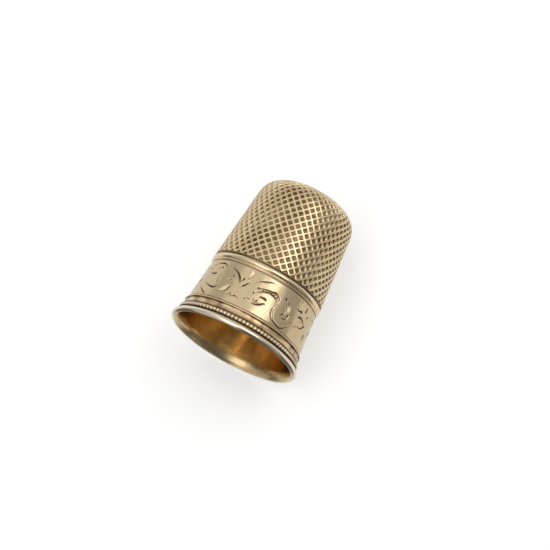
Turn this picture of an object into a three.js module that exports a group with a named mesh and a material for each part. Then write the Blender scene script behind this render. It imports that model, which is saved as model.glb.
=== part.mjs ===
// A gold sewing thimble: a drawn inner shell, with a knurled wall and crown, an engraved band
// and four rings of moulding soldered round it. Millimetres, +Z up, standing on its rim, with
// the origin at the centre of the mouth. The pits, the milling and the engraving are shallower
// than the sheet, so each piece is held here as its plain solid.
import * as THREE from "three";

// Driving sizes
const HEIGHT = 23.64;
const SHOULDER_Z = 19.36; // where the tapering wall turns into the crown
const SHOULDER_R = 6.97;
const TAPER = 0.0963; // radius lost by the wall for each millimetre of height
const CROWN_POWER = 2.9; // superellipse exponent of the crown: 2 is round, more is squarer
const WALL_THICK = 0.42; // knurled wall and crown
const SHELL_THICK = 0.15;
const BAND_RECESS = 0.25; // depth of the band below the knurled surface
const SOLDER = 0.02; // film between two joined pieces
const SEGMENTS = 48; // facets round the axis, the same on every piece so that they nest
const CROWN_STEPS = 9;
const FLARE_STEPS = 8;

// Heights at which the pieces meet, from the mouth up
const LIP_Z = 0.05; // edge of the inner shell, just inside the rim
const MILLED_Z = 1.0;
const COVE_Z = 1.66;
const BAND_Z = 2.88;
const BEAD_Z = 8.78;
const KNURL_Z = 9.92;
const REBATE_Z = 18.96; // the crown drops over the wall down to here

// Rim: a round bead with a worn foot, and a neck that carries the milled wire
const RIM_R = 9.2;
const RIM_BEAD = 0.44; // radius of the bead's section
const RIM_WORN = 0.05; // depth worn off the foot
const NECK_R = 8.56;
const FLARE_TOP = 1.5;
const FLARE_OUT = 0.37;
const FLARE_POWER = 3;

// Mouldings, each a hump or a hollow on its strip
const MILLED_BASE_R = 8.56;
const MILLED_PROUD = 0.24;
const COVE_LOWER_R = 8.66;
const COVE_UPPER_R = 8.44;
const COVE_LAND = 0.12; // plain edge above and below the hollow
const COVE_DEPTH = 0.16;
const RIDGE_FROM_Z = 8.82;
const RIDGE_TO_Z = 9.06;
const RIDGE_PROUD = 0.1;
const BEAD_FROM_Z = 9.08;
const BEAD_TO_Z = 9.84;
const BEAD_PROUD = 0.29;

const PALE_GOLD = 0xd9c79a;
const WORN_GOLD = 0xc9b081;
const ROSE_GOLD = 0xc49f79;
const DEEP_GOLD = 0xc0862c;

const point = (r, z) => new THREE.Vector2(r, z);

// Surfaces, as a radius at each height
const wallOuter = (z) => SHOULDER_R + TAPER * (SHOULDER_Z - z);
const wallInner = (z) => wallOuter(z) - WALL_THICK;
const bandOuter = (z) => wallOuter(z) - BAND_RECESS;
const coveOuter = (z) => {
  const share = (z - COVE_Z) / (BAND_Z - COVE_Z);
  return THREE.MathUtils.lerp(COVE_LOWER_R, COVE_UPPER_R, share);
};
const flare = (z) => FLARE_OUT * Math.max(1 - z / FLARE_TOP, 0) ** FLARE_POWER;
const seat = (z) => wallInner(z) + flare(z); // inside of every piece that wraps the shell
const shellOuter = (z) => seat(z) - SOLDER;
const shellInner = (z) => shellOuter(z) - SHELL_THICK;

// Points on a surface, evenly spaced in height
function along(surface, fromZ, toZ, steps) {
  return Array.from({ length: steps + 1 }, (_, i) => {
    const z = THREE.MathUtils.lerp(fromZ, toZ, i / steps);
    return point(surface(z), z);
  });
}

// A half-round hump on a surface, or a hollow where proud is negative
function swell(surface, fromZ, toZ, proud, steps) {
  return Array.from({ length: steps + 1 }, (_, i) => {
    const angle = (i / steps) * Math.PI;
    const z = THREE.MathUtils.lerp(fromZ, toZ, (1 - Math.cos(angle)) / 2);
    return point(surface(z) + proud * Math.sin(angle), z);
  });
}

// The crown's outline, inset from the outer one, from the shoulder up to the axis. A small
// term keeps the wall's taper where the curve begins, so that there is no crease.
function crown(inset) {
  const rise = HEIGHT - SHOULDER_Z - inset;
  return Array.from({ length: CROWN_STEPS + 1 }, (_, i) => {
    const angle = (i / CROWN_STEPS) * (Math.PI / 2);
    const up = Math.sin(angle) ** (2 / CROWN_POWER);
    const across = i === CROWN_STEPS ? 0 : Math.cos(angle) ** (2 / CROWN_POWER);
    const lean = TAPER * rise * up * (1 - up) ** 2;
    return point((SHOULDER_R - inset) * across - lean, SHOULDER_Z + rise * up);
  });
}

// Turns a profile round the axis. It runs anticlockwise in radius and height, and either
// starts and ends on the axis or closes on itself.
function turned(name, profile, colour, roughness) {
  const onAxis = profile[0].x === 0;
  const outline = onAxis ? profile : [...profile, profile[0].clone()];
  const geometry = new THREE.LatheGeometry(outline, SEGMENTS);
  geometry.rotateX(Math.PI / 2);
  const material = new THREE.MeshStandardMaterial({ color: colour, metalness: 1, roughness });
  const mesh = new THREE.Mesh(geometry, material);
  mesh.name = name;
  return mesh;
}

// A ring that wraps the shell between two heights, with the given outer face
function ring(name, fromZ, toZ, face, colour, roughness) {
  const inside = along(seat, toZ, fromZ, fromZ < FLARE_TOP ? 3 : 1);
  return turned(name, [...face, ...inside], colour, roughness);
}

// The drawn cup round the finger, open at the mouth, with its lip flared out over the rim
function innerShell() {
  const profile = [
    ...crown(WALL_THICK + SOLDER + SHELL_THICK).reverse(),
    ...along(shellInner, FLARE_TOP, LIP_Z, FLARE_STEPS),
    ...along(shellOuter, LIP_Z, FLARE_TOP, FLARE_STEPS),
    ...crown(WALL_THICK + SOLDER),
  ];
  return turned("inner_shell", profile, DEEP_GOLD, 0.18);
}

// The round bead at the mouth, standing on a narrow worn flat. The flared lip lies inside it.
function rimRing() {
  const centreR = RIM_R - RIM_BEAD;
  const centreZ = RIM_BEAD - RIM_WORN;
  const bead = (fromAngle, toAngle, steps) =>
    Array.from({ length: steps + 1 }, (_, i) => {
      const angle = THREE.MathUtils.lerp(fromAngle, toAngle, i / steps);
      return point(centreR + RIM_BEAD * Math.cos(angle), centreZ + RIM_BEAD * Math.sin(angle));
    });
  const footAngle = -Math.asin(centreZ / RIM_BEAD);
  const neckAngle = Math.acos((NECK_R - centreR) / RIM_BEAD);
  const neckTop = MILLED_Z - SOLDER;
  const profile = [
    ...bead(footAngle, neckAngle, 12),
    point(NECK_R, neckTop),
    ...along(seat, neckTop, 0, 4),
  ];
  return turned("rim_ring", profile, PALE_GOLD, 0.2);
}

function milledWire() {
  const base = () => MILLED_BASE_R;
  const face = swell(base, MILLED_Z, COVE_Z - SOLDER, MILLED_PROUD, 8);
  return ring("milled_wire", MILLED_Z, COVE_Z - SOLDER, face, PALE_GOLD, 0.3);
}

function covedStrip() {
  const top = BAND_Z - SOLDER;
  const hollow = swell(coveOuter, COVE_Z + COVE_LAND, top - COVE_LAND, -COVE_DEPTH, 8);
  const face = [point(coveOuter(COVE_Z), COVE_Z), ...hollow, point(coveOuter(top), top)];
  return ring("coved_strip", COVE_Z, top, face, ROSE_GOLD, 0.25);
}

function engravedBand() {
  const top = BEAD_Z - SOLDER;
  return ring("engraved_band", BAND_Z, top, along(bandOuter, BAND_Z, top, 1), PALE_GOLD, 0.25);
}

function beadWire() {
  const top = KNURL_Z - SOLDER;
  const face = [
    point(bandOuter(BEAD_Z), BEAD_Z),
    ...swell(bandOuter, RIDGE_FROM_Z, RIDGE_TO_Z, RIDGE_PROUD, 4),
    ...swell(bandOuter, BEAD_FROM_Z, BEAD_TO_Z, BEAD_PROUD, 8),
    point(bandOuter(top), top),
  ];
  return ring("bead_wire", BEAD_Z, top, face, PALE_GOLD, 0.25);
}

// The sleeve with the pits, thinned at the top to a spigot that locates the crown
function knurledWall() {
  const spigotTop = SHOULDER_Z - SOLDER;
  const spigot = (z) => wallOuter(z) - (WALL_THICK + SOLDER) / 2;
  const face = [
    ...along(wallOuter, KNURL_Z, REBATE_Z, 1),
    ...along(spigot, REBATE_Z, spigotTop, 1),
  ];
  return ring("knurled_wall", KNURL_Z, spigotTop, face, WORN_GOLD, 0.35);
}

// The crown, whose skirt drops over the wall's spigot
function knurledCap() {
  const skirtInner = (z) => wallOuter(z) - (WALL_THICK - SOLDER) / 2;
  const skirtFoot = REBATE_Z + SOLDER;
  const profile = [
    ...crown(WALL_THICK).reverse(),
    ...along(skirtInner, SHOULDER_Z, skirtFoot, 1),
    point(wallOuter(skirtFoot), skirtFoot),
    ...crown(0),
  ];
  return turned("knurled_cap", profile, WORN_GOLD, 0.35);
}

const thimble = new THREE.Group();
thimble.add(
  innerShell(),
  rimRing(),
  milledWire(),
  covedStrip(),
  engravedBand(),
  beadWire(),
  knurledWall(),
  knurledCap(),
);

export default thimble;
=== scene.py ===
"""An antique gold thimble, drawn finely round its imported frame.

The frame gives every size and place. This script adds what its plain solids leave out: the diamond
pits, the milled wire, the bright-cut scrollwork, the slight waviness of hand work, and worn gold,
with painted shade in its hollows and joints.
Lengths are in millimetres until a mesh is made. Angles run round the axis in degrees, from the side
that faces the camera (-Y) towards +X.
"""

import math

import bpy
import numpy as np
from mathutils import Matrix, Vector

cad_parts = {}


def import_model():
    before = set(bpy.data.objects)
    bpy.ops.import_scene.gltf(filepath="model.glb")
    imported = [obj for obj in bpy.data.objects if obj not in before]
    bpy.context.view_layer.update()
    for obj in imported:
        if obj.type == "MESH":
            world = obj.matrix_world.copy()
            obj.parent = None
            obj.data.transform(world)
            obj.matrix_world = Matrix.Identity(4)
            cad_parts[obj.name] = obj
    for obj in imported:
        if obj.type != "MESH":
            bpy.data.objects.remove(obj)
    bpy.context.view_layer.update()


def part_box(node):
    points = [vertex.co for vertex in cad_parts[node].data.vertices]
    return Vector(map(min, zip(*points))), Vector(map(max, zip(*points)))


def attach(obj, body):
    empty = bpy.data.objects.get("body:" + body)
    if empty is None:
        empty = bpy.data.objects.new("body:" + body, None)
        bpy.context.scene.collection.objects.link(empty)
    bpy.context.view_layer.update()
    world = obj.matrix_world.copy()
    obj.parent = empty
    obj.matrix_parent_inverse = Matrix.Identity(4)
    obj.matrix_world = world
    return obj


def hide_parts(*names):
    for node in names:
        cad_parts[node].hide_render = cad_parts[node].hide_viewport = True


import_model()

MM = 0.001
FULL_TURN = 360.0


# ---------------------------------------------------------------- sizes read from the frame


def heights(node):
    """Lowest and highest z of a node."""
    low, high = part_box(node)
    return low.z / MM, high.z / MM


def widest(node):
    """Outer radius of a node, which every turned piece reaches on its widest ring."""
    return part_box(node)[1].x / MM


SOLDER = 0.02
WALL_THICK = 0.42
SHELL_THICK = 0.15

MILLED_LOW, MILLED_HIGH = heights("milled_wire")
COVE_LOW, COVE_HIGH = heights("coved_strip")
BAND_LOW, BAND_HIGH = heights("engraved_band")
BEAD_LOW, BEAD_HIGH = heights("bead_wire")
WALL_LOW, SPIGOT_TOP = heights("knurled_wall")
SEAM, CROWN_TOP = heights("knurled_cap")
LIP = heights("inner_shell")[0]
SHOULDER = SPIGOT_TOP + SOLDER
RIM_RADIUS = widest("rim_ring")
TAPER = (widest("knurled_wall") - widest("knurled_cap")) / (SEAM - WALL_LOW)


def wall_radius(z):
    """The knurled surface on the straight part of the wall."""
    return widest("knurled_wall") - TAPER * (z - WALL_LOW)


def band_radius(z):
    return widest("engraved_band") - TAPER * (z - BAND_LOW)


CROWN_POWER = 2.9
CROWN_RISE = CROWN_TOP - SHOULDER
SHOULDER_RADIUS = wall_radius(SHOULDER)


def crown_outline(inset, steps):
    """Radius and height from the shoulder to the axis, along the superellipse of the crown."""
    angle = np.linspace(0, math.pi / 2, steps + 1)
    up = np.sin(angle) ** (2 / CROWN_POWER)
    across = np.abs(np.cos(angle)) ** (2 / CROWN_POWER)
    across[-1] = 0
    rise = CROWN_RISE - inset
    lean = TAPER * rise * up * (1 - up) ** 2
    return (SHOULDER_RADIUS - inset) * across - lean, SHOULDER + rise * up


# ---------------------------------------------------------------- shapes shared by the pieces


def smooth(x):
    """Eases from 0 to 1 as x goes from 0 to 1."""
    x = np.clip(x, 0, 1)
    return x * x * (3 - 2 * x)


def ripple(angle, z, size, seed, slowest=2, fastest=9):
    """Soft unevenness in millimetres, as hammering and wear leave it."""
    draw = np.random.default_rng(seed)
    total = 0.0
    for turns in range(slowest, fastest + 1):
        climb, phase, tilt = draw.uniform(-0.9, 0.9), draw.uniform(0, 6.28), draw.uniform(0.5, 1.0)
        total = total + tilt * np.sin(np.radians(turns * angle) + climb * z + phase)
    return size * total / math.sqrt(fastest - slowest + 1)


def swell(base, low, high, proud, steps):
    """Outline points of a half-round hump on a surface, or of a hollow where proud is negative."""
    turn = np.linspace(0, math.pi, steps + 1)
    z = low + (high - low) * (1 - np.cos(turn)) / 2
    return [(base(h) + proud * math.sin(t), h) for h, t in zip(z, turn)]


def arc(r, z, radius, start, end, steps):
    """Outline points of an arc, with its angles in degrees anticlockwise from straight out."""
    turn = np.radians(np.linspace(start, end, steps + 1))
    return [(r + radius * math.cos(t), z + radius * math.sin(t)) for t in turn]


class Skin:
    """A closed surface made of rings of points round the axis, each joined to the next.

    The rings follow an outline that runs anticlockwise in radius and height, so the faces point
    out. A ring of one point is a pole on the axis; an outline with no poles joins end to start.
    """

    def __init__(self, name):
        self.name = name
        self.rings = []

    def add(self, angle, radius, z, shade_and_tarnish=0.0, phase=0.0):
        """One ring. shade_and_tarnish is how dark it is there, from tarnished dirt and painted shade
        in hollows and joints; phase is its shift in half steps.
        """
        angle, radius, z, shade_and_tarnish = np.broadcast_arrays(angle, radius, z, shade_and_tarnish)
        self.rings.append((angle.astype(float), radius * 1.0, z * 1.0, shade_and_tarnish * 1.0, phase))

    def pole(self, z):
        self.add(np.zeros(1), 0.0, z)

    def outline(self, points, around, bend=None, shade_and_tarnish=0.0):
        """Plain rings through outline points. bend moves each ring in or out by a few hundredths."""
        angle = np.arange(around) * FULL_TURN / around
        for r, z in points:
            moved = r + (bend(angle, z) if bend else 0.0)
            self.add(angle, moved, z, shade_and_tarnish)

    def joined(self, a, b):
        """Triangles between two rings, given as (first vertex, ring)."""
        (first_a, ring_a), (first_b, ring_b) = a, b
        n, m = len(ring_a[0]), len(ring_b[0])
        if n == m and n > 1:
            j = np.arange(n)
            ahead = (j + (1 if ring_b[4] < ring_a[4] else 0)) % n
            next_a, next_b = (j + 1) % n, (ahead + 1) % n
            lower = np.stack([first_a + j, first_a + next_a, first_b + ahead], 1)
            upper = np.stack([first_a + next_a, first_b + next_b, first_b + ahead], 1)
            return np.concatenate([lower, upper])
        return self.zipped(first_a, ring_a[0], first_b, ring_b[0])

    def zipped(self, first_a, angle_a, first_b, angle_b):
        """Triangles between rings of different counts, taking whichever ring is behind."""
        n, m = len(angle_a), len(angle_b)
        if n == 1 or m == 1:
            j = np.arange(max(n, m))
            ring = first_a if m == 1 else first_b
            here, there = ring + j, ring + (j + 1) % len(j)
            tip = np.full(len(j), first_b if m == 1 else first_a)
            return np.stack([here, there, tip] if m == 1 else [tip, there, here], 1)
        gap = (angle_b - angle_a[0] + FULL_TURN / 2) % FULL_TURN - FULL_TURN / 2
        start = int(np.argmin(np.abs(gap)))
        along_a = np.append(angle_a, angle_a[0] + FULL_TURN) - angle_a[0]
        along_b = (np.roll(angle_b, -start) - angle_b[start]) % FULL_TURN
        along_b = np.append(along_b, FULL_TURN) + gap[start]
        faces, i, j = [], 0, 0
        while i < n or j < m:
            va, vb = first_a + i % n, first_b + (j + start) % m
            if j == m or (i < n and along_a[i + 1] <= along_b[j + 1]):
                faces.append((va, first_a + (i + 1) % n, vb))
                i += 1
            else:
                faces.append((va, first_b + (j + 1 + start) % m, vb))
                j += 1
        return np.array(faces)

    def build(self, node, material):
        """The mesh as a piece that rides on the root body and stands for its node."""
        firsts = np.cumsum([0] + [len(ring[0]) for ring in self.rings])
        pairs = list(zip(firsts, self.rings))
        follow = pairs[1:] if len(self.rings[0][0]) == 1 else pairs[1:] + pairs[:1]
        faces = np.concatenate([self.joined(a, b) for a, b in zip(pairs, follow)])
        angle, radius, z, shade_and_tarnish = (np.concatenate([ring[k] for ring in self.rings]) for k in range(4))
        turn = np.radians(angle)
        points = np.stack([radius * np.sin(turn), -radius * np.cos(turn), z], 1) * MM
        mesh = bpy.data.meshes.new(self.name)
        mesh.vertices.add(len(points))
        mesh.vertices.foreach_set("co", points.astype(np.float32).ravel())
        mesh.loops.add(faces.size)
        mesh.loops.foreach_set("vertex_index", faces.astype(np.int32).ravel())
        mesh.polygons.add(len(faces))
        mesh.polygons.foreach_set("loop_start", np.arange(0, faces.size, 3, dtype=np.int32))
        mesh.update(calc_edges=True)
        mesh.validate()
        mesh.polygons.foreach_set("use_smooth", np.ones(len(mesh.polygons), bool))
        mesh.set_sharp_from_angle(angle=math.radians(50))
        mark = mesh.attributes.new("shade_and_tarnish", "FLOAT", "POINT")
        mark.data.foreach_set("value", shade_and_tarnish.astype(np.float32))
        mesh.materials.append(material)
        piece = bpy.data.objects.new(self.name, mesh)
        bpy.context.scene.collection.objects.link(piece)
        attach(piece, "root")
        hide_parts(node)


# ---------------------------------------------------------------- gold


class Nodes:
    """A node tree written from the output end: nodes are made and linked in one call."""

    def __init__(self, tree):
        self.tree = tree
        tree.nodes.clear()

    def add(self, kind, inputs=None, **settings):
        made = self.tree.nodes.new(kind)
        for key, value in settings.items():
            setattr(made, key, value)
        for key, value in (inputs or {}).items():
            if isinstance(value, bpy.types.NodeSocket):
                self.tree.links.new(value, made.inputs[key])
            else:
                made.inputs[key].default_value = value
        return made

    def math(self, operation, *values, clamp=False):
        return self.add(
            "ShaderNodeMath", dict(enumerate(values)), operation=operation, use_clamp=clamp
        ).outputs[0]

    def ease(self, value, low, high, to_low=0.0, to_high=1.0):
        """value eased from one range to another."""
        inputs = {0: value, 1: low, 2: high, 3: to_low, 4: to_high}
        return self.add("ShaderNodeMapRange", inputs, interpolation_type="SMOOTHSTEP").outputs[0]

    def mix(self, share, a, b):
        made = self.add("ShaderNodeMix", data_type="RGBA")
        for socket, value in zip((made.inputs[0], made.inputs[6], made.inputs[7]), (share, a, b)):
            if isinstance(value, bpy.types.NodeSocket):
                self.tree.links.new(value, socket)
            else:
                socket.default_value = value
        return made.outputs[2]

    def stretch(self, point, amounts):
        inputs = {0: point, 1: amounts}
        return self.add("ShaderNodeVectorMath", inputs, operation="MULTIPLY").outputs[0]

    def noise(self, point, scale, detail=2.0, roughness=0.5, distortion=0.0):
        inputs = {"Vector": point, "Scale": scale, "Detail": detail}
        inputs.update({"Roughness": roughness, "Distortion": distortion})
        return self.add("ShaderNodeTexNoise", inputs).outputs[0]


def gold(name, colour, dark_tint, roughness, scratch=1.0, turned=0.0, waviness=0.0, patina=0.25):
    """Procedural gold. It is browner and duller where shade_and_tarnish is high, which holds
    tarnished dirt and painted shade in hollows, grooves and joints, and clean and bright where that
    is low.

    scratch scales the fine random scratches, turned the marks that run round the axis, waviness
    the soft unevenness of rubbed metal, and patina how much the colour drifts from place to place.
    """
    material = bpy.data.materials.new(name)
    material.use_nodes = True
    n = Nodes(material.node_tree)
    place = n.add("ShaderNodeTexCoord").outputs["Object"]
    point = n.add("ShaderNodeVectorMath", {0: place, 3: 1 / MM}, operation="SCALE").outputs[0]
    around = n.stretch(point, (0.25, 0.25, 9.0))
    shade_and_tarnish = n.add("ShaderNodeAttribute", attribute_name="shade_and_tarnish").outputs["Fac"]

    # cloud drifts over the whole piece, speck is fine spots, and streak runs round the axis
    cloud = n.noise(point, 0.45, detail=4.0, roughness=0.6, distortion=0.4)
    speck = n.noise(point, 5.0, detail=3.0, roughness=0.7)
    streak = n.noise(around, 1.4, detail=4.0, roughness=0.65)
    drift = n.math("MULTIPLY", n.ease(cloud, 0.35, 0.75), patina)
    # darkened is how far the colour goes to dark_tint: the shade_and_tarnish attribute broken up by
    # speck, so tarnished dirt and painted shade
    darkened = n.math("MULTIPLY_ADD", n.ease(speck, 0.3, 0.75), 0.35, 0.8)
    darkened = n.math("MULTIPLY", shade_and_tarnish, darkened, clamp=True)

    shade = n.mix(drift, (*colour, 1), (*[c * t for c, t in zip(colour, (0.93, 0.84, 0.7))], 1))
    shade = n.mix(darkened, shade, (*dark_tint, 1))

    cells = {"Vector": n.stretch(point, (2.2, 0.5, 0.35)), "Scale": 3.0}
    lines = n.add("ShaderNodeTexVoronoi", cells, feature="DISTANCE_TO_EDGE").outputs["Distance"]
    scored = n.math("MULTIPLY", n.ease(lines, 0.0, 0.03, 1.0, 0.0), n.ease(speck, 0.5, 0.7))

    gloss = n.math("MULTIPLY_ADD", n.ease(cloud, 0.3, 0.8), 0.12, roughness)
    gloss = n.math("MULTIPLY_ADD", scored, 0.1 * scratch, gloss)
    gloss = n.math("MULTIPLY_ADD", darkened, 0.35, gloss, clamp=True)

    # heights of the bump, in millimetres
    relief = n.math("MULTIPLY", n.noise(point, 0.9, detail=1.0), 0.012 * waviness)
    relief = n.math("MULTIPLY_ADD", streak, 0.0016 * turned, relief)
    relief = n.math("MULTIPLY_ADD", scored, -0.0012 * scratch, relief)
    relief = n.math("MULTIPLY_ADD", n.noise(point, 22.0, detail=3.0), 0.0005 * scratch, relief)
    bump = n.add("ShaderNodeBump", {"Height": n.math("MULTIPLY", relief, MM), "Distance": 1.0})

    metal = n.add("ShaderNodeBsdfPrincipled", {
        "Base Color": shade, "Metallic": 1.0, "Roughness": gloss, "Normal": bump.outputs[0]})
    n.add("ShaderNodeOutputMaterial", {"Surface": metal.outputs[0]})
    return material


# Dark tints taken on by tarnished dirt and by painted shade in hollows and joints
DARK = (0.085, 0.045, 0.018)
BROWN = (0.20, 0.12, 0.055)
pale = gold("rim_gold", (0.96, 0.82, 0.62), BROWN, 0.1, turned=0.8, waviness=0.8, patina=0.15)
moulding = gold("moulding_gold", (0.92, 0.74, 0.49), DARK, 0.14, turned=1.0, waviness=0.8)
rose = gold("cove_gold", (0.86, 0.63, 0.38), DARK, 0.15, turned=2.0, waviness=1.4, patina=0.8)
band_gold = gold("band_gold", (0.74, 0.575, 0.36), DARK, 0.15, turned=0.6, waviness=1.4, patina=0.3)
pitted = gold("knurl_gold", (0.88, 0.69, 0.43), DARK, 0.17, waviness=0.3, patina=0.4)
lining = gold("bore_gold", (0.84, 0.63, 0.35), BROWN, 0.12, scratch=0.05, waviness=1.5, patina=0.2)


# ---------------------------------------------------------------- the rings round the mouth

FLARE_TOP = 1.5  # below this height the lining opens like a trumpet, out over the bead
FLARE_OUT = 0.37
FLARE_POWER = 3
RIM_BEAD = 0.44  # radius of the rim's section
RIM_WORN = 0.05  # depth worn off its foot
NECK_RADIUS = 8.56  # of the neck above the rim, and of the floor between the milled teeth
SMOOTH_AROUND = 256


def flare(z):
    """How far the mouth opens at height z."""
    return FLARE_OUT * np.maximum(1 - z / FLARE_TOP, 0.0) ** FLARE_POWER


def seat(z):
    """Inside radius of every piece that wraps the lining."""
    return wall_radius(z) - WALL_THICK + flare(z)


def inside(high, low):
    """Outline down the inside of a ring, from high to low."""
    return [(seat(z), z) for z in np.linspace(high, low, 5)]


def inner_shell():
    """The polished cup, a little uneven inside where it was burnished by hand."""
    def uneven(angle, z):
        return ripple(angle, z, 0.022, seed=3) * smooth((z - LIP) / 1.5)

    skin = Skin("inner_shell_fine")
    crown_r, crown_z = crown_outline(WALL_THICK + SOLDER + SHELL_THICK, 30)
    skin.pole(crown_z[-1])
    # Painted shade: the inside of the crown, deep in the cup, is darkened a little
    skin.outline(list(zip(crown_r, crown_z))[-2:0:-1], SMOOTH_AROUND, uneven, shade_and_tarnish=0.15)
    lip = SHELL_THICK / 2
    depth = SOLDER + SHELL_THICK
    angle = np.arange(SMOOTH_AROUND) * FULL_TURN / SMOOTH_AROUND
    for z in np.geomspace(SHOULDER, LIP + lip, 60):
        # Painted shade: inside the mouth, from 0.15 to 1.5 mm up, the lining is browned in patches
        # that stand for the dark it reflects there
        shade_patches = smooth(0.75 + ripple(angle, z, 0.6, seed=45, fastest=5))
        lip_shade = 0.35 * smooth((1.5 - z) / 0.6) * smooth((z - 0.15) / 0.15)
        skin.add(angle, seat(z) - depth + uneven(angle, z), z, lip_shade * shade_patches)
    skin.outline(arc(seat(LIP) - SOLDER - lip, LIP + lip, lip, 190, 350, 8), SMOOTH_AROUND)
    skin.outline([(seat(z) - SOLDER, z) for z in np.geomspace(LIP + lip, SHOULDER, 30)], 96)
    crown_r, crown_z = crown_outline(WALL_THICK + SOLDER, 16)
    skin.outline(list(zip(crown_r, crown_z))[1:-1], 96)
    skin.pole(crown_z[-1])
    skin.build("inner_shell", lining)


def rim_ring():
    """The round bead that the thimble stands on, with its narrow neck."""
    neck_top = MILLED_LOW - SOLDER
    centre_r, centre_z = RIM_RADIUS - RIM_BEAD, RIM_BEAD - RIM_WORN
    foot = -math.degrees(math.asin(centre_z / RIM_BEAD))
    neck = math.degrees(math.acos((NECK_RADIUS - centre_r) / RIM_BEAD))

    def dinged(angle, z):
        return ripple(angle, 3 * z, 0.012, seed=11, fastest=24) * smooth(z / 0.1)

    skin = Skin("rim_ring_fine")
    skin.outline(arc(centre_r, centre_z, RIM_BEAD, foot, neck, 26), SMOOTH_AROUND, dinged)
    neck_low = centre_z + RIM_BEAD * 0.97
    # Painted shade: the narrow neck under the milled wire is darkened fully
    skin.outline([(NECK_RADIUS, neck_low), (NECK_RADIUS, neck_top)], SMOOTH_AROUND, shade_and_tarnish=1.0)
    skin.outline([(seat(z), z) for z in np.linspace(neck_top, 0.0, 16)], SMOOTH_AROUND)
    skin.build("rim_ring", pale)


MILLED_TEETH = 98
TOOTH_POINTS = 10
TOOTH_DEPTH = 0.13


def milled_wire():
    """A wire cut across into a row of small square teeth."""
    around = MILLED_TEETH * TOOTH_POINTS
    angle = np.arange(around) * FULL_TURN / around
    across = np.abs((angle * MILLED_TEETH / FULL_TURN) % 1 - 0.5) * 2
    gap = smooth((across - 0.45) / 0.4)
    proud = widest("milled_wire") - NECK_RADIUS
    skin = Skin("milled_wire_fine")
    for turn in np.linspace(0, 1, 17):
        hump = math.sin(math.pi * turn) ** 0.7
        z = MILLED_LOW + (MILLED_HIGH - MILLED_LOW) * (1 - math.cos(math.pi * turn)) / 2
        # Painted shade: the gaps between teeth, the lower half of the wire and the ends of its hump
        # are darkened
        darkened = smooth((0.5 - turn) / 0.3) + (1 - hump) * 0.6
        radius = NECK_RADIUS + hump * (proud - TOOTH_DEPTH * gap)
        skin.add(angle, radius, z, np.clip(0.6 * gap + darkened, 0, 1))
    skin.outline(inside(MILLED_HIGH, MILLED_LOW), 96)
    skin.build("milled_wire", moulding)


COVE_LEAN = 0.22  # how much narrower the cove is at the top
COVE_LAND = 0.08  # plain edge below the hollow
COVE_LIP = 0.2  # height of the bright lip above it
COVE_DEPTH = 0.2


def coved_strip():
    """The hollow moulding between the milled wire and the band, with a bright lip above it."""
    lip_low = COVE_HIGH - COVE_LIP
    hollow_low = COVE_LOW + COVE_LAND

    def surface(z):
        share = (z - COVE_LOW) / (COVE_HIGH + SOLDER - COVE_LOW)
        return widest("coved_strip") - COVE_LEAN * share

    def uneven(angle, z):
        return ripple(angle, z, 0.012, seed=5, fastest=20)

    angle = np.arange(SMOOTH_AROUND) * FULL_TURN / SMOOTH_AROUND
    skin = Skin("coved_strip_fine")
    # Painted shade along the foot, where the cove meets the milled wire
    skin.outline([(surface(COVE_LOW) - 0.05, COVE_LOW), (surface(COVE_LOW), COVE_LOW + 0.05)],
                 SMOOTH_AROUND, uneven, shade_and_tarnish=0.9)
    for r, z in swell(surface, hollow_low, lip_low, -COVE_DEPTH, 18):
        share = (z - hollow_low) / (lip_low - hollow_low)
        # Painted shade: the hollow darkens under the lip and towards its foot; the blotches are
        # tarnish
        edge_shade = 0.9 * smooth(3 * share - 2.0) + 0.5 * smooth(1 - 3 * share)
        blotches = 0.55 * smooth(0.2 + ripple(angle, 4 * z, 0.7, seed=41, fastest=40))
        skin.add(angle, r + uneven(angle, z), z, edge_shade + blotches)
    skin.outline(swell(surface, lip_low + 0.02, COVE_HIGH, 0.03, 6), SMOOTH_AROUND, uneven)
    skin.outline(inside(COVE_HIGH, COVE_LOW), 96)
    skin.build("coved_strip", rose)


# Heights above the foot of the bead wire
RIDGE_FROM, RIDGE_TO, RIDGE_PROUD = 0.04, 0.28, 0.1
BEAD_GROOVE = 0.29
BEAD_FROM, BEAD_MIDDLE = 0.3, 0.68
BEAD_EDGE = 0.06  # plain edge above the bead


def bead_wire():
    """The half-round moulding over the band, with its small second ridge."""
    def uneven(angle, z):
        return ripple(angle, z, 0.008, seed=8, fastest=16)

    skin = Skin("bead_wire_fine")
    proud = widest("bead_wire") - band_radius(BEAD_LOW + BEAD_MIDDLE)
    ridge = swell(band_radius, BEAD_LOW + RIDGE_FROM, BEAD_LOW + RIDGE_TO, RIDGE_PROUD, 8)
    groove = BEAD_LOW + BEAD_GROOVE
    bead = swell(band_radius, BEAD_LOW + BEAD_FROM, BEAD_HIGH - BEAD_EDGE, proud, 18)
    # Painted shade at the foot, in the groove between ridge and bead, and along the top, where the
    # wire meets its neighbours
    skin.outline([(band_radius(BEAD_LOW), BEAD_LOW)], SMOOTH_AROUND, shade_and_tarnish=0.5)
    skin.outline(ridge, SMOOTH_AROUND, uneven)
    skin.outline([(band_radius(groove), groove)], SMOOTH_AROUND, shade_and_tarnish=0.7)
    skin.outline(bead, SMOOTH_AROUND, uneven)
    skin.outline([(band_radius(BEAD_HIGH), BEAD_HIGH)], SMOOTH_AROUND, shade_and_tarnish=0.8)
    skin.outline(inside(BEAD_HIGH, BEAD_LOW), 96)
    skin.build("bead_wire", moulding)


# ---------------------------------------------------------------- the engraved band

BAND_AROUND = 960
BAND_ROWS = 100
REPEATS = 2  # times that the scrollwork goes round
SCROLL_START = -74.0  # where the first of them begins, in degrees
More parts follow.
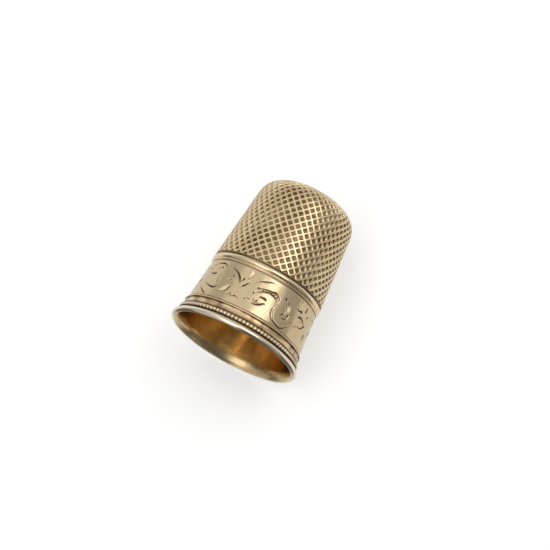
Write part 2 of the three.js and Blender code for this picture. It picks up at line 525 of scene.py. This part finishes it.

# Each cut is its tool, then points as (degrees round the axis, millimetres above the band's foot).
# A tool is the cut's full width, its depth, how far along it is fattest, how dark its groove is made
# (tarnished dirt and painted shade), and the lean of its deepest line towards the left of its path.
TOOLS = {
    "faint": (0.24, 0.045, 0.5, 0.45, 0.0),
    "hair": (0.26, 0.08, 0.5, 0.95, 0.3),
    "line": (0.34, 0.11, 0.6, 1.0, 0.4),
    "comma": (0.44, 0.14, 0.8, 1.0, 0.45),
    "drop": (0.5, 0.15, 0.4, 1.0, 0.3),
    "bright": (0.62, 0.16, 0.45, 0.0, 0.75),
}
C_SCROLL = [(17.3, 2.68), (15.3, 2.27), (15.1, 1.68), (16.6, 1.09), (20.8, 0.62), (27.8, 0.35),
            (32.1, 0.56), (35.9, 1.09), (38.0, 1.5), (39.5, 2.0)]
SCROLLWORK = [
    # the ribbon that leads into the great C-scroll, with its ladder of bars
    ("hair", [(-13, 3.75), (-7.9, 4.42), (-1.5, 4.82), (4, 5.17), (8.5, 5.3)]),
    ("line", [(-8.6, 2.71), (-5.1, 2.93), (-0.6, 3.37), (5.5, 3.68), (10.7, 3.62), (15.3, 3.34),
              (17.3, 3.1)]),
    ("line", [(-8.4, 3.5), (-4.6, 3.6), (2.6, 3.88), (8.4, 4.0), (12.3, 4.12), (17.1, 3.74),
              (17.4, 3.12)]),
    ("drop", [(-8.4, 2.7), (-6.4, 2.79)]),
    ("drop", [(-6.4, 3.53), (-3.4, 3.66)]),
    ("hair", [(-1.0, 3.35), (0.2, 3.8)]),
    ("hair", [(5.4, 3.64), (6.2, 3.95)]),
    ("line", [(8.4, 3.68), (8.4, 3.95)]),
    ("line", [(11.2, 3.66), (12.3, 4.12)]),
    ("bright", [(13.4, 3.66), (15.6, 3.55)]),
    ("comma", [(-1.9, 2.48), (0.5, 2.6), (5.0, 2.64), (6.3, 2.48)]),
    ("line", [(-8, 1.46), (-3.3, 1.31), (1.5, 1.52), (5.5, 1.96), (8.2, 2.03)]),
    ("bright", [(-3, 1.5), (-3, 2.2)]),
    ("hair", [(-1.8, 2.25), (-1.8, 1.5)]),
    ("bright", [(0.4, 1.65), (0.4, 2.1)]),
    ("hair", [(-12.1, 1.84), (-6.2, 1.65)]),
    ("hair", [(-14, 1.65), (-12.4, 1.5), (-12.3, 1.09)]),
    # the great C-scroll and the leaf that it holds
    ("line", C_SCROLL),
    ("drop", [(38.4, 1.78), (39.9, 2.14)]),
    ("hair", [(41.3, 1.77), (42.9, 1.74)]),
    ("line", [(25.4, 3.18), (27.3, 2.68), (26, 2.18), (23.2, 1.96)]),
    ("bright", [(29.7, 2.46), (31, 2.9), (30.3, 3.5), (28.4, 3.87), (26.2, 4.12)]),
    ("drop", [(21.6, 4.3), (26.2, 4.05)]),
    ("line", [(23.4, 1.71), (28.2, 1.65), (31.3, 1.84), (31.7, 2.37), (33.5, 2.65)]),
    ("drop", [(31.6, 2.3), (33.6, 2.66)]),
    ("faint", [(33.5, 2.65), (37.2, 3.05)]),
    ("bright", [(33, 1.8), (33.8, 2.45)]),
    # the leaf sprig beyond it
    ("hair", [(41.5, 5.55), (41.8, 5.27)]),
    ("faint", [(47.2, 5.59), (47.9, 5.3)]),
    ("comma", [(50.7, 5.35), (52.9, 5.0), (51.2, 4.55)]),
    ("comma", [(38.5, 4.43), (41.5, 4.05), (45.5, 4.18), (47.4, 4.02)]),
    ("line", [(56.6, 3.99), (58.4, 4.24), (61.9, 4.52)]),
    ("comma", [(59.9, 3.3), (56.2, 3.21), (50.7, 3.52), (46.6, 3.52), (42.9, 3.3)]),
    ("comma", [(44.2, 2.3), (50.5, 2.21), (54.9, 2.4), (58.4, 2.87), (61, 3.12)]),
    ("faint", [(46, 2.9), (50, 2.96), (54.5, 2.9)]),
    ("drop", [(45, 1.99), (46.4, 1.99)]),
    ("faint", [(65.1, 3.62), (65.6, 3.42)]),
    ("drop", [(63.2, 2.2), (65.6, 2.05), (65.2, 1.6), (64, 1.3)]),
    # the second scroll, on the other side
    ("line", [(-62.8, 5.37), (-59.7, 5.09), (-53.2, 5.2), (-48.1, 5.06), (-44.2, 4.49)]),
    ("line", [(-52.5, 4.68), (-49.2, 4.46)]),
    ("hair", [(-55.3, 4.46), (-53.2, 4.3)]),
    ("comma", [(-69.5, 3.93), (-63, 3.62), (-57.5, 3.46), (-54, 3.68)]),
    ("hair", [(-70.6, 4.34), (-65.8, 4.3)]),
    ("hair", [(-67.4, 4.93), (-64, 4.82), (-61.9, 5.12)]),
    ("comma", [(-66, 2.4), (-60.8, 1.93), (-54.2, 1.59), (-48.1, 1.43), (-44, 1.77)]),
    ("drop", [(-46.6, 1.5), (-43.8, 1.84)]),
    ("line", [(-69.5, 1.77), (-63, 1.06), (-56, 0.49), (-51, 0.21)]),
    ("line", [(-44.8, 0.84), (-37.9, 1.1), (-32.8, 1.52), (-30.6, 2.27), (-31.3, 2.59)]),
    ("bright", [(-32.6, 2.4), (-33.9, 1.95), (-37, 1.45), (-40, 1.25)]),
    ("drop", [(-35, 3.3), (-34.2, 2.95)]),
    ("hair", [(-34.1, 2.8), (-33.4, 2.6)]),
    ("hair", [(-31.4, 2.9), (-30.8, 2.6)]),
    ("hair", [(-36, 2.45), (-35.4, 2.15)]),
    ("faint", [(-46.6, 3.93), (-47.8, 2.85), (-45.9, 2.3), (-43.8, 2.05)]),
    # the three-leafed sprig between them
    ("comma", [(-42.4, 4.5), (-37, 4.76), (-30.9, 4.4), (-26.9, 3.87), (-23.4, 3.09)]),
    ("drop", [(-28.3, 4.1), (-26.3, 3.75)]),
    ("hair", [(-35.2, 3.87), (-30.9, 3.74)]),
    ("drop", [(-22.3, 4.2), (-22.8, 3.45)]),
    ("bright", [(-17.3, 5.5), (-17, 5.0), (-17.7, 4.3)]),
    ("comma", [(-15.6, 4.1), (-16.2, 3.7), (-18.2, 3.27), (-21.5, 2.77)]),
    ("hair", [(-18.6, 4.3), (-17.9, 4.15)]),
    # the tendril at the foot
    ("hair", [(-26.5, 0.99), (-22.6, 1.24), (-16, 1.21)]),
    ("bright", [(-26.8, 1.15), (-25.2, 1.3)]),
    ("hair", [(-28.8, 1.27), (-28.9, 0.9)]),
    ("faint", [(-30.6, 0.68), (-29.4, 0.6)]),
    # leaves that fill the side away from the two scrolls
    ("line", [(68, 1.5), (72, 2.4), (77, 3.1), (83, 3.4), (88, 3.1), (91, 2.4)]),
    ("bright", [(73, 2.3), (77, 2.8), (82, 3.0)]),
    ("comma", [(70, 4.6), (75, 4.9), (80, 4.7), (83, 4.2)]),
    ("drop", [(86, 2.3), (85, 1.6)]),
    ("line", [(76, 1.0), (81, 0.7), (87, 0.8), (92, 1.3), (95, 2.1)]),
    ("line", [(92, 4.6), (97, 4.9), (101, 4.6), (103, 4.0)]),
    ("comma", [(98, 1.4), (101, 2.2), (106, 2.7)]),
    ("bright", [(96, 3.6), (99, 3.2), (100, 2.6)]),
]
BURR = 0.045  # height of the metal thrown up along both sides of a cut
TICK_SPACING, TICK_LOW, TICK_HIGH = 0.34, 0.2, 0.42
# The grained lines at the two edges of the band
EDGE_DOTS = 320
EDGE_LINES = (BAND_LOW + 0.1, BAND_HIGH - 0.08)
EDGE_LINE_WIDTH, EDGE_LINE_DEPTH = 0.09, 0.08


def through(points, steps=10):
    """A smooth path through points, by the Catmull-Rom rule."""
    points = np.array(points, float)
    if len(points) == 2:
        return points[0] + np.linspace(0, 1, steps + 1)[:, None] * (points[1] - points[0])
    ends = [2 * points[0] - points[1], *points, 2 * points[-1] - points[-2]]
    path = []
    for a, b, c, d in zip(ends, ends[1:], ends[2:], ends[3:]):
        t = np.arange(steps)[:, None] / steps
        bend = (2 * a - 5 * b + 4 * c - d) * t**2 + (3 * b - a - 3 * c + d) * t**3
        path.append(0.5 * (2 * b + (c - a) * t + bend))
    return np.concatenate([*path, points[-1:]])


def cut(surface, x, y, tool, path):
    """Cuts one stroke into (depth, shade_and_tarnish), over a sheet laid out flat at x, y in
    millimetres.
    """
    depth, shade_and_tarnish = surface
    width, deepest, fattest, groove_tarnish_and_shade, lean = TOOLS[tool]
    low, high = path.min(0) - width, path.max(0) + width
    near = np.nonzero((x > low[0]) & (x < high[0]) & (y > low[1]) & (y < high[1]))
    spot = np.stack([x[near], y[near]], 1)
    start, step = path[:-1], np.diff(path, axis=0)
    length = np.maximum((step**2).sum(1), 1e-12)
    share = np.clip(((spot[:, None] - start) * step).sum(2) / length, 0, 1)
    off = spot[:, None] - start - share[..., None] * step
    away = np.sqrt((off**2).sum(2))
    best = away.argmin(1)
    row = np.arange(len(spot))
    along = (best + share[row, best]) / len(step)
    side = np.sign(step[best, 0] * off[row, best, 1] - step[best, 1] * off[row, best, 0])
    rise, fall = along / fattest, (1 - along) / (1 - fattest)
    half = 0.5 * width * np.clip(np.minimum(rise, fall), 0.0, 1) ** 0.5 + 1e-6
    across = side * away[row, best] / half
    slope = np.where(across > lean, (1 - across) / (1 - lean), (1 + across) / (1 + lean))
    fullness = half / (0.5 * width)
    groove = np.clip(slope, 0, 1) * fullness
    burr = BURR * fullness * smooth(1 - np.abs(np.abs(across) - 1.3) / 0.4)
    depth[near] = np.where(groove > 0, np.maximum(depth[near], deepest * groove), depth[near] - burr)
    # Painted shade and tarnished dirt darken the groove
    cut_darkening = groove_tarnish_and_shade * smooth(groove * 2.4 - 0.5)
    if groove_tarnish_and_shade == 0:  # a bright cut has no tarnished dirt, only painted shade along its steep side
        cut_darkening = 0.9 * (across > lean) * smooth((1 - across) / (1 - lean) * 3)
    shade_and_tarnish[near] = np.maximum(shade_and_tarnish[near], cut_darkening)


def ticks(path):
    """Short cuts square to a path in millimetres, on its left side, as matting inside a scroll."""
    step = np.diff(path, axis=0)
    length = np.concatenate([[0], np.cumsum(np.hypot(*step.T))])
    for along in np.arange(length[-1] * 0.12, length[-1] * 0.86, TICK_SPACING):
        place = [np.interp(along, length, path[:, k]) for k in range(2)]
        ahead = step[np.searchsorted(length, along) - 1]
        left = np.array([-ahead[1], ahead[0]]) / np.hypot(*ahead)
        yield np.array([place + left * TICK_LOW, place + left * TICK_HIGH])


def engraved_band():
    """The applied strip, with its scrollwork cut into a height field."""
    angle = np.arange(BAND_AROUND) * FULL_TURN / BAND_AROUND
    z = BAND_LOW + (BAND_HIGH - BAND_LOW) * np.linspace(0, 1, BAND_ROWS)
    degree = band_radius((BAND_LOW + BAND_HIGH) / 2) * math.pi / 180
    period = FULL_TURN / REPEATS
    count = BAND_AROUND // REPEATS
    local = SCROLL_START + np.arange(count) * period / count
    x, y = np.meshgrid(local * degree, z - BAND_LOW)
    depth, shade_and_tarnish = np.zeros_like(x), np.zeros_like(x)
    for tool, points in SCROLLWORK:
        path = through(points) * (degree, 1.0)
        cut((depth, shade_and_tarnish), x, y, tool, path)
    for tick in ticks(through(C_SCROLL) * (degree, 1.0)):
        cut((depth, shade_and_tarnish), x, y, "faint", tick)
    first = int(round(SCROLL_START % FULL_TURN / (FULL_TURN / BAND_AROUND)))
    depth = np.roll(np.tile(depth, REPEATS), first, axis=1)
    shade_and_tarnish = np.roll(np.tile(shade_and_tarnish, REPEATS), first, axis=1)

    angle_grid, z_grid = np.meshgrid(angle, z)
    dots = 0.6 + 0.4 * np.cos(np.radians(angle_grid * EDGE_DOTS))
    # The grained lines' dots are darkened by tarnished dirt and painted shade in their grooves
    for line in EDGE_LINES:
        groove = np.clip(1.1 - np.abs(z_grid - line) / EDGE_LINE_WIDTH, 0, 1) * dots
        depth = np.maximum(depth, EDGE_LINE_DEPTH * groove)
        shade_and_tarnish = np.maximum(shade_and_tarnish, smooth(groove * 1.8))
    uneven = ripple(angle_grid, z_grid, 0.014, seed=21, fastest=9)
    uneven = uneven + ripple(angle_grid, 2 * z_grid, 0.005, seed=22, slowest=12, fastest=40)
    skin = Skin("engraved_band_fine")
    for row in range(BAND_ROWS):
        skin.add(angle, band_radius(z[row]) + uneven[row] - depth[row], z[row], shade_and_tarnish[row])
    skin.outline(inside(BAND_HIGH, BAND_LOW), 96)
    skin.build("engraved_band", band_gold)


# ---------------------------------------------------------------- the pitted wall and crown

PITS_AROUND = 40
PIT_ROW = 0.59  # height between one row of pits and the next, which sits half a pit round
PIT_DEPTH = 0.27
LAND = 0.19  # plain edge of the wall below the first, cut row
FIRST_PIT = 5.7  # where the cut row's pits stand, in degrees
CREEP = 0.4  # degrees that the pattern turns for each millimetre of height
# Where the mesh has its lines between one ridge and the next: close together on the flanks
CELL = np.array([0.0, 0.1, 0.13, 0.18, 0.25, 0.5, 0.75, 0.82, 0.87, 0.9, 1.0])
STEPS = len(CELL) - 1


def lattice(lines):
    """Places of mesh lines, counted in ridges."""
    return lines // STEPS + CELL[lines % STEPS]


def pit(p, q, draw):
    """Depth share and shade_and_tarnish of a pit at p, q, which run from -1 to 1 between ridges. The
    pit's floor and flanks are darkened by tarnished dirt and painted shade.

    draw is how deep the punch went: a flat-floored square with rounded flanks, scaled by it.
    """
    edge = np.clip(1 - (np.abs(p) ** 8 + np.abs(q) ** 8) ** (1 / 8), 0, 1)
    flank = smooth((edge - 0.21) / 0.31)
    return (0.88 * flank + 0.12 * edge * flank) * draw, smooth((edge - 0.3) / 0.22)


def pit_rows(skin, path_r, path_z, path_k, rows, count, depth, turn):
    """Adds the rings of a pitted zone, following a path whose half rows are counted by path_k."""
    slope_r, slope_z = np.gradient(path_r), np.gradient(path_z)
    size = np.hypot(slope_r, slope_z)
    half_pitch = FULL_TURN / count / 2
    for d in range(rows * STEPS + 1):
        c = 2 * np.arange(count * STEPS) + d % 2
        u, v = lattice((c + d) // 2), lattice((c - d) // 2)
        k = u - v
        r = np.interp(k, path_k, path_r)
        z = np.interp(k, path_k, path_z)
        out_r = np.interp(k, path_k, slope_z / size)
        out_z = np.interp(k, path_k, -slope_r / size)
        cell = np.floor(u) * 7.31 + np.floor(v) * 3.17
        uneven = 0.92 + 0.12 * np.sin(cell * 12.9898)
        share, shade_and_tarnish = pit(2 * (u % 1) - 1, 2 * (v % 1) - 1, uneven)
        angle = turn + half_pitch * (u + v) + CREEP * (z - WALL_LOW)
        angle = angle + ripple(angle, 0.6 * z, 0.22, seed=35)
        worn = 0.85 + 0.3 * ripple(angle, z, 0.5, seed=31)
        deep = depth * share * np.clip(worn, 0.55, 1.1)
        ridge = ripple(angle, z, 0.01, seed=33, fastest=20)
        out = ridge - deep
        skin.add(angle, r + out_r * out, z + out_z * out, shade_and_tarnish * np.clip(worn, 0, 1), phase=d % 2)


def knurled_wall():
    """The tapering sleeve with forty pits to a row."""
    rows = round((SEAM - WALL_LOW - LAND) / PIT_ROW)
    z = np.linspace(WALL_LOW + LAND, SEAM, 4 * rows + 1)
    k = (z - z[0]) / (z[-1] - z[0]) * rows
    skin = Skin("knurled_wall_fine")
    edge = wall_radius(WALL_LOW) - 0.03
    # Painted shade along the plain foot of the wall, where it meets the bead wire
    skin.outline([(edge - 0.03, WALL_LOW), (edge, WALL_LOW + 0.03)], 400, shade_and_tarnish=0.8)
    skin.outline([(edge, WALL_LOW + LAND)], 400, shade_and_tarnish=0.5)
    pit_rows(skin, wall_radius(z), z, k, rows, PITS_AROUND, PIT_DEPTH, FIRST_PIT)
    inner = [(seat(h), h) for h in np.linspace(SEAM, WALL_LOW, 5)]
    skin.outline(inner, 96)
    skin.build("knurled_wall", pitted)


# Zones of the crown from the seam inwards: pits to a row, and the radius where the zone ends
CROWN_ZONES = [(PITS_AROUND, 4.7), (26, 2.6), (13, 1.15)]
ZONE_GAP = 0.14


def crown_path(start, end_radius, count):
    """A stretch of the crown's outline, with its half rows counted so that pits stay square."""
    straight_z = np.linspace(SEAM, SHOULDER, 20)[:-1]
    round_r, round_z = crown_outline(0.0, 900)
    r = np.concatenate([wall_radius(straight_z), round_r])
    z = np.concatenate([straight_z, round_z])
    length = np.concatenate([[0], np.cumsum(np.hypot(np.diff(r), np.diff(z)))])
    end = np.interp(-end_radius, -r, length)
    along = np.linspace(start, end, 400)
    path_r, path_z = np.interp(along, length, r), np.interp(along, length, z)
    row = np.minimum(PIT_ROW, 1.06 * math.pi * path_r / count)
    k = np.concatenate([[0], np.cumsum(np.diff(along) * 0.5 * (1 / row[1:] + 1 / row[:-1]))])
    rows = max(2, round(k[-1]))
    return path_r, path_z, k * rows / k[-1], rows, end


def knurled_cap():
    """The crown, with its rings of pits closing in on a small plain centre."""
    wall_rows = round((SEAM - WALL_LOW - LAND) / PIT_ROW)
    skin = Skin("knurled_cap_fine")
    crown_r, crown_z = crown_outline(WALL_THICK, 14)
    skin.pole(crown_z[-1])
    skin.outline(list(zip(crown_r, crown_z))[-2:0:-1], 96)
    skin.outline([(SHOULDER_RADIUS - WALL_THICK, SHOULDER), (seat(SEAM), SEAM)], 96)
    start = 0.0
    for zone, (count, end_radius) in enumerate(CROWN_ZONES):
        path_r, path_z, k, rows, end = crown_path(start, end_radius, count)
        turn = FIRST_PIT + (wall_rows % 2) * FULL_TURN / PITS_AROUND / 2 if zone == 0 else 0.0
        depth = PIT_DEPTH * min(1.0, (path_r[0] / count) / (SHOULDER_RADIUS / PITS_AROUND))
        pit_rows(skin, path_r, path_z, k, rows, count, depth, turn)
        start = end + ZONE_GAP
    skin.pole(CROWN_TOP)
    skin.build("knurled_cap", pitted)


inner_shell()
rim_ring()
milled_wire()
coved_strip()
engraved_band()
bead_wire()
knurled_wall()
knurled_cap()


# ---------------------------------------------------------------- stage, light and camera

CAMERA_PLACE = Vector((0.33, -380.9, -100.58)) * MM
CAMERA_FORWARD = Vector((0.0, 0.959, 0.282)).normalized()
CAMERA_RIGHT = Vector((0.876, -0.136, 0.462))
CAMERA_LENS = 196.6


def camera():
    data = bpy.data.cameras.new("camera")
    data.lens = CAMERA_LENS
    data.clip_start, data.clip_end = 0.01, 10
    made = bpy.data.objects.new("camera", data)
    bpy.context.scene.collection.objects.link(made)
    forward = CAMERA_FORWARD
    right = (CAMERA_RIGHT - CAMERA_RIGHT.dot(forward) * forward).normalized()
    up = right.cross(forward)
    turn = Matrix((right, up, -forward)).transposed()
    made.matrix_world = Matrix.Translation(CAMERA_PLACE) @ turn.to_4x4()
    bpy.context.scene.camera = made


TABLE_NORMAL = (-0.10, -0.99, -0.115)
# Painted reflection of the table in the metal: dark low down, standing for the thimble's shade,
# brighter above
TABLE_PAINTED_REFLECTION = (-6, -1, 0.12, 0.76)


def looks_up(n):
    """1 where the camera looks up from below the rim, as it does in the main view, else 0."""
    up = n.add("ShaderNodeVectorTransform", {0: (0, 0, 1)}, vector_type="VECTOR",
               convert_from="WORLD", convert_to="CAMERA").outputs[0]
    ahead = n.add("ShaderNodeSeparateXYZ", {0: up}).outputs["Z"]
    return n.math("GREATER_THAN", ahead, 0.1)


def plane(name, centre, normal, size, glow, shown_when_looking_up, painted_reflection=None):
    """A pale matt sheet, seen either by the main view or by the level views, but not by both. It also
    glows a little by itself: painted light that brightens it evenly and softens the thimble's shade
    on it.

    painted_reflection sets the painted light that the metal sees in place of the sheet: between two
    heights it goes from the first brightness, a painted shade where the thimble shades the sheet, to
    the second.
    """
    mesh = bpy.data.meshes.new(name)
    corners = [(-size, -size, 0), (size, -size, 0), (size, size, 0), (-size, size, 0)]
    mesh.from_pydata([Vector(c) * MM for c in corners], [], [(0, 1, 2, 3)])
    made = bpy.data.objects.new(name, mesh)
    bpy.context.scene.collection.objects.link(made)
    turn = Vector(normal).to_track_quat("Z", "Y").to_matrix().to_4x4()
    made.matrix_world = Matrix.Translation(Vector(centre) * MM) @ turn
    material = bpy.data.materials.new(name)
    material.use_nodes = True
    n = Nodes(material.node_tree)
    shown = looks_up(n)
    if not shown_when_looking_up:
        shown = n.math("SUBTRACT", 1.0, shown)
    # Painted light: the sheet glows by itself as well as being lit
    paper = n.add("ShaderNodeAddShader", {
        0: n.add("ShaderNodeBsdfDiffuse", {"Color": (0.9, 0.9, 0.9, 1)}).outputs[0],
        1: n.add("ShaderNodeEmission", {"Strength": glow}).outputs[0]}).outputs[0]
    if painted_reflection:
        place = n.add("ShaderNodeNewGeometry").outputs["Position"]
        height = n.add("ShaderNodeSeparateXYZ", {0: place}).outputs["Z"]
        low, high, low_light, high_light = painted_reflection
        light = n.ease(height, low * MM, high * MM, low_light, high_light)
        # Painted reflection: glossy rays see this graded light instead of the sheet
        in_metal = n.add("ShaderNodeLightPath").outputs["Is Glossy Ray"]
        seen_in_metal = n.add("ShaderNodeEmission", {"Strength": light}).outputs[0]
        paper = n.add("ShaderNodeMixShader", {0: in_metal, 1: paper, 2: seen_in_metal}).outputs[0]
    clear = n.add("ShaderNodeBsdfTransparent").outputs[0]
    n.add("ShaderNodeOutputMaterial", {
        "Surface": n.add("ShaderNodeMixShader", {0: shown, 1: clear, 2: paper}).outputs[0]})
    mesh.materials.append(material)


# The studio round the thimble: soft boxes and black cards on an even grey. Each is the direction of
# its middle (degrees round from -Y towards +X, degrees up), half its width and height, how softly it
# ends, and its light.
EVEN_LIGHT = 0.62
BACKDROP = 0.92
STUDIO = {
    "front fill": (-5, 10, 30, 45, 20, 1.0),
    "left card": (-115, 10, 40, 45, 20, 0.68),
    "side card": (72, 0, 24, 35, 20, 0.5),
    "floor card": (95, -68, 115, 26, 8, 0.1),
    "second box": (-46, 5, 16, 22, 12, 1.3),
    "key box": (14, 14, 14, 24, 11, 2.5),
    "back box": (180, 25, 20, 35, 12, 1.2),
    "low right card": (33, -22, 34, 22, 8, 0.18),
    "low back card": (95, -18, 30, 16, 8, 0.22),
    "low left card": (-88, -9, 42, 7, 6, 0.25),
    "low box": (-24, -20, 13, 22, 8, 2.4),
}


def covered(n, direction, azimuth, elevation, half_width, half_height, soft):
    """1 for directions inside a soft-edged rectangle of the studio, 0 outside."""
    turned = n.add("ShaderNodeVectorRotate", {"Vector": direction, "Angle": -math.radians(azimuth)},
                   rotation_type="Z_AXIS").outputs[0]
    x, y, z = n.add("ShaderNodeSeparateXYZ", {0: turned}).outputs
    aside = n.math("DEGREES", n.math("ABSOLUTE", n.math("ARCTAN2", x, n.math("MULTIPLY", y, -1.0))))
    up = n.math("DEGREES", n.math("ARCSINE", z))
    above = n.math("ABSOLUTE", n.math("SUBTRACT", up, elevation))
    across = n.ease(aside, half_width - soft, half_width + soft, 1.0, 0.0)
    along = n.ease(above, half_height - soft, half_height + soft, 1.0, 0.0)
    return n.math("MULTIPLY", across, along)


def world():
    """The studio's light; the camera itself sees only a plain pale backdrop."""
    made = bpy.data.worlds.new("studio")
    bpy.context.scene.world = made
    made.use_nodes = True
    n = Nodes(made.node_tree)
    direction = n.add("ShaderNodeTexCoord").outputs["Generated"]
    light = EVEN_LIGHT
    for *place, brightness in STUDIO.values():
        share = covered(n, direction, *place)
        light = n.math("MULTIPLY_ADD", share, n.math("SUBTRACT", brightness, light), light)
    seen = n.add("ShaderNodeLightPath").outputs["Is Camera Ray"]
    light = n.math("MULTIPLY_ADD", seen, n.math("SUBTRACT", BACKDROP, light), light)
    n.add("ShaderNodeOutputWorld", {
        "Surface": n.add("ShaderNodeBackground", {"Strength": light}).outputs[0]})


camera()
plane("table", (0, RIM_RADIUS, 0), TABLE_NORMAL, 400, 0.42, True, TABLE_PAINTED_REFLECTION)
plane("floor", (0, 0, 0), (0, 0, 1), 600, 0.2, False)
world()
bpy.context.scene.view_settings.view_transform = "Standard"
